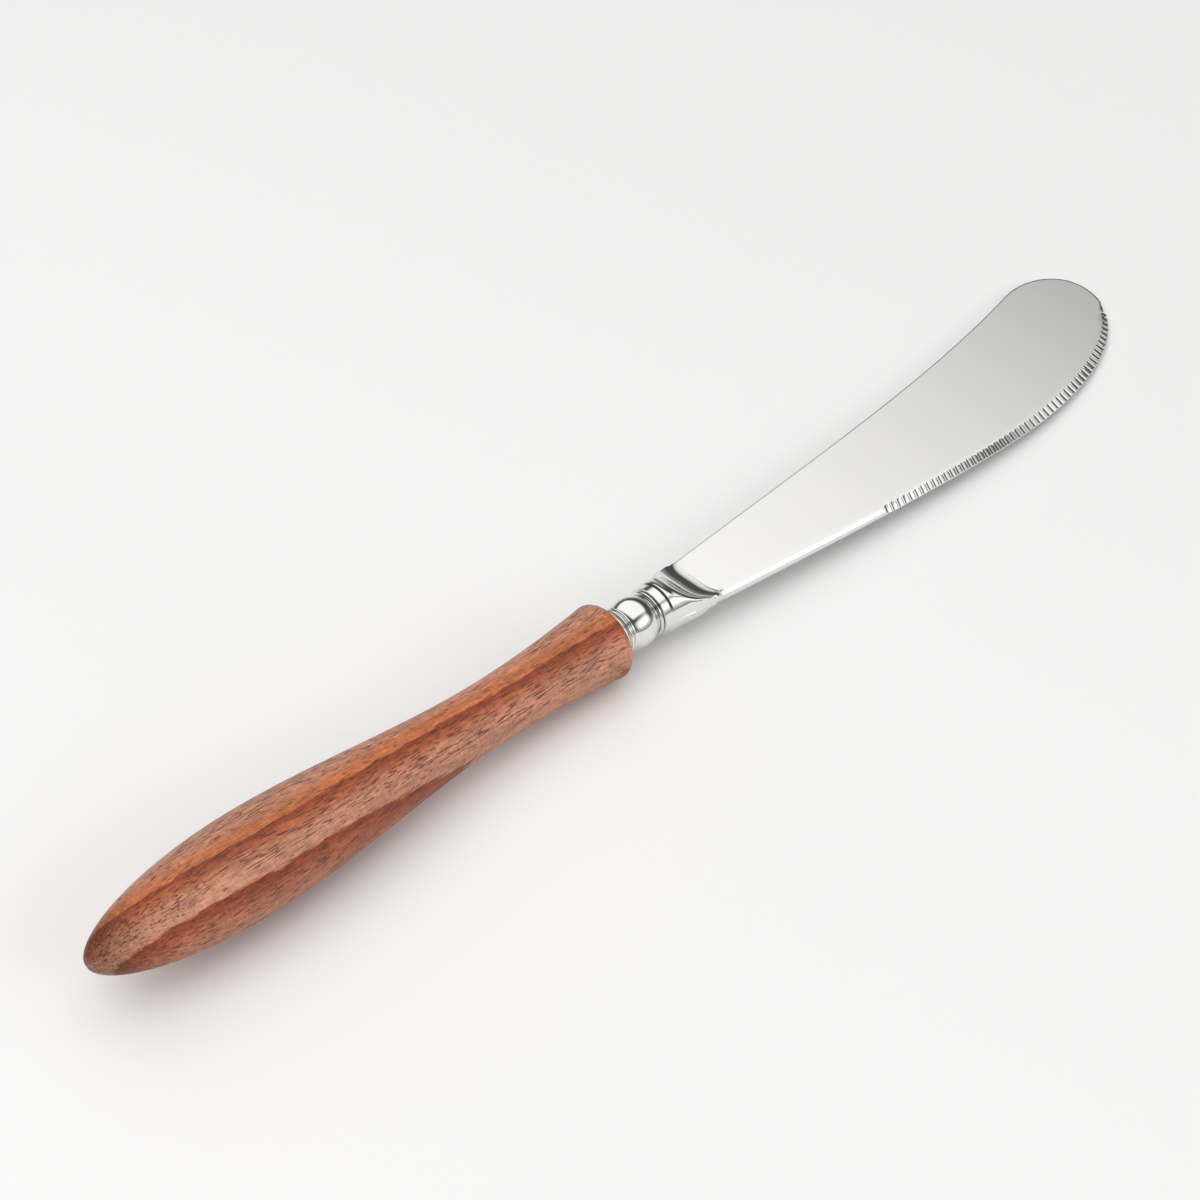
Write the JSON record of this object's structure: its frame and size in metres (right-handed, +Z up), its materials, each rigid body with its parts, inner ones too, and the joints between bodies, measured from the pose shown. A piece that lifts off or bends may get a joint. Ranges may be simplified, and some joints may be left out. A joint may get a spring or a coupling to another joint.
{
  "type": "butter knife",
  "caption": "Table butter knife with a drop-shaped steel blade, a finely fluted cutting side, a turned ball bolster and a turned wooden handle with a hidden tang.",
  "frame": {"origin": "centre of the knife's box on the surface that it lies on", "axes": "+X runs from the butt end to the tip, +Y towards the spine, +Z up from the table while the knife lies on its side"},
  "size_m": [0.1986, 0.0238, 0.0154],
  "materials": {
    "handle_wood": "oiled and lightly polished reddish-brown hardwood with fine dark pores",
    "collar_steel": "polished stainless steel washer",
    "polished_steel": "mirror-polished stainless steel",
    "cured_adhesive": "cured amber epoxy, hidden inside the handle"
  },
  "bodies": {
    "root": {"handle": "handle_wood", "collar": "collar_steel", "blade": "polished_steel", "tang_adhesive": "cured_adhesive"}
  },
  "joints": []
}
